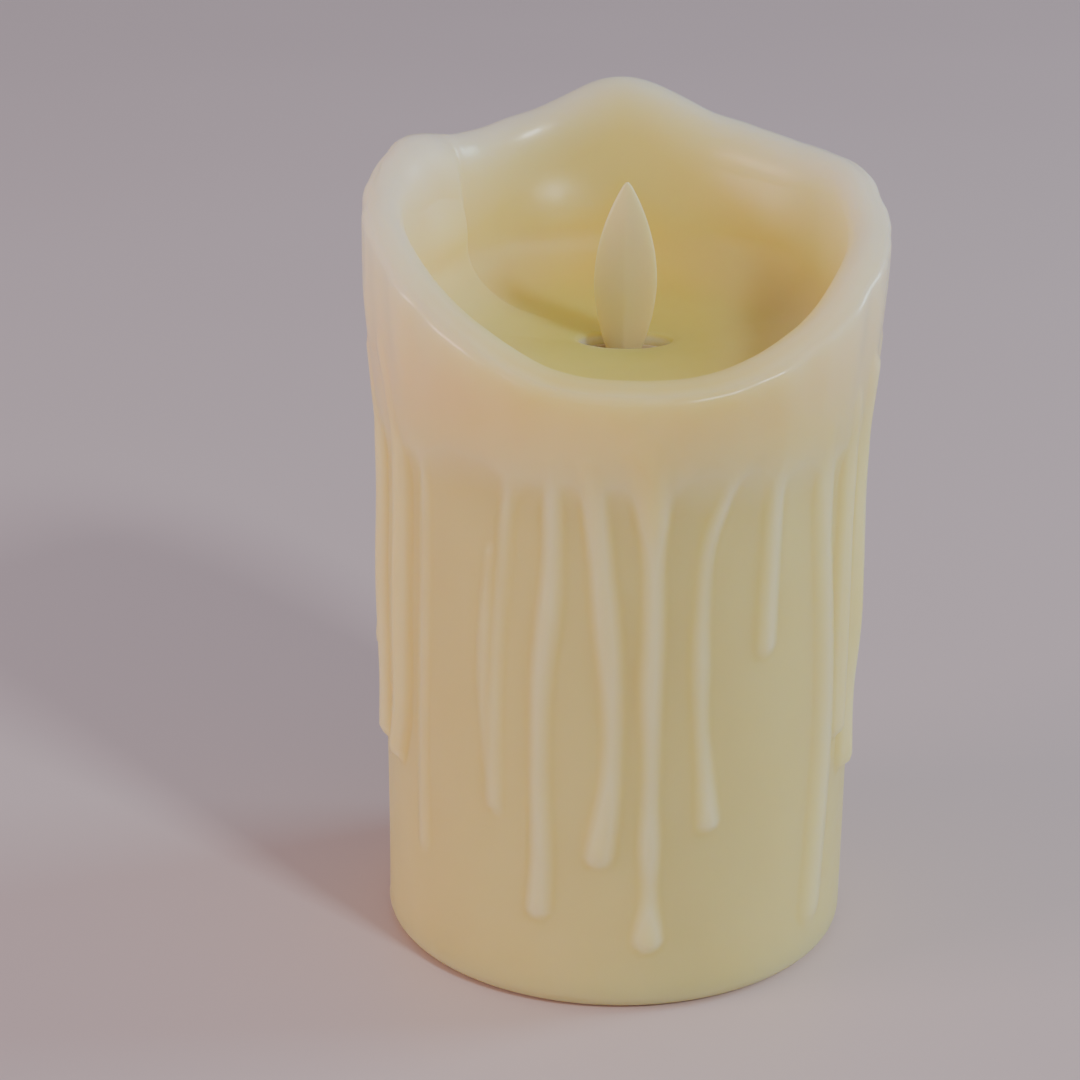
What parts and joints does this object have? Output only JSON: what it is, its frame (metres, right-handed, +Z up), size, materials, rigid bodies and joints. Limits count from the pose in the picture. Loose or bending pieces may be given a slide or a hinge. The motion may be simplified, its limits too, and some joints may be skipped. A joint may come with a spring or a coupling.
{
  "type": "flameless led candle",
  "caption": "Ivory pillar candle with a melted rim, poured drips and a swaying flame blade, driven from a tower and battery base inside.",
  "frame": {"origin": "centre of the face that the base ring stands on", "axes": "+Z up along the candle, -Y to the front, where the rim is lowest, +X to the right"},
  "size_m": [0.0812, 0.0805, 0.131],
  "materials": {
    "wax": "satin ivory wax",
    "flame": "satin translucent moulding",
    "collar": "matt",
    "magnet": "nickel plated",
    "steel": "drawn wire",
    "led_lens": "clear with a warm tint",
    "tower": "fine moulded",
    "screw_steel": "zinc plated",
    "bobbin": "moulded",
    "copper": "enamelled copper wire",
    "board_green": "solder mask",
    "chip_black": "moulded epoxy",
    "capacitor_sleeve": "shrunk sleeve",
    "base_plastic": "fine moulded",
    "cell_jacket": "printed film on steel",
    "contact_nickel": "nickel plated",
    "switch_metal": "tinned",
    "knob_black": "moulded",
    "wire_red": "smooth insulation",
    "wire_black": "smooth insulation"
  },
  "bodies": {
    "root": {"wax_shell": "wax", "flame_collar": "collar", "pivot_wire": "steel", "led": "led_lens", "led_leads": "steel", "chassis_left": "tower", "chassis_right": "tower", "chassis_screws": "screw_steel", "coil_bobbin": "bobbin", "coil_winding": "copper", "coil_leads": "copper", "circuit_board": "board_green", "control_chip": "chip_black", "capacitor": "capacitor_sleeve", "transistor": "chip_black", "resistors": "chip_black", "base_housing": "base_plastic", "base_screws": "screw_steel", "battery_1": "cell_jacket", "battery_2": "cell_jacket", "battery_3": "cell_jacket", "contact_positive": "contact_nickel", "contact_negative": "contact_nickel", "contact_bridge_left": "contact_nickel", "contact_bridge_right": "contact_nickel", "battery_spring_1": "contact_nickel", "battery_spring_2": "contact_nickel", "battery_spring_3": "contact_nickel", "switch_body": "switch_metal", "switch_pins": "contact_nickel", "switch_board": "board_green", "switch_screws": "screw_steel", "wire_battery_red": "wire_red", "wire_switch_red": "wire_red", "wire_battery_black": "wire_black"},
    "flame": {"flame_paddle": "flame", "flame_magnet": "magnet"},
    "door": {"battery_door": "base_plastic"},
    "knob": {"switch_knob": "knob_black"}
  },
  "joints": [
    {"name": "flame_sway", "type": "hinge", "parent": "root", "child": "flame", "pos_m": [0, 0, 0.084], "axis": [0, 1, 0], "range_deg": [-10, 10]},
    {"name": "battery_door_hinge", "type": "hinge", "parent": "root", "child": "door", "pos_m": [-0.0226, 0, 0.0022], "axis": [0, 1, 0], "range_deg": [0, 95]},
    {"name": "switch_slide", "type": "slide", "parent": "root", "child": "knob", "axis": [1, 0, 0], "range_m": [0, 0.004]}
  ]
}
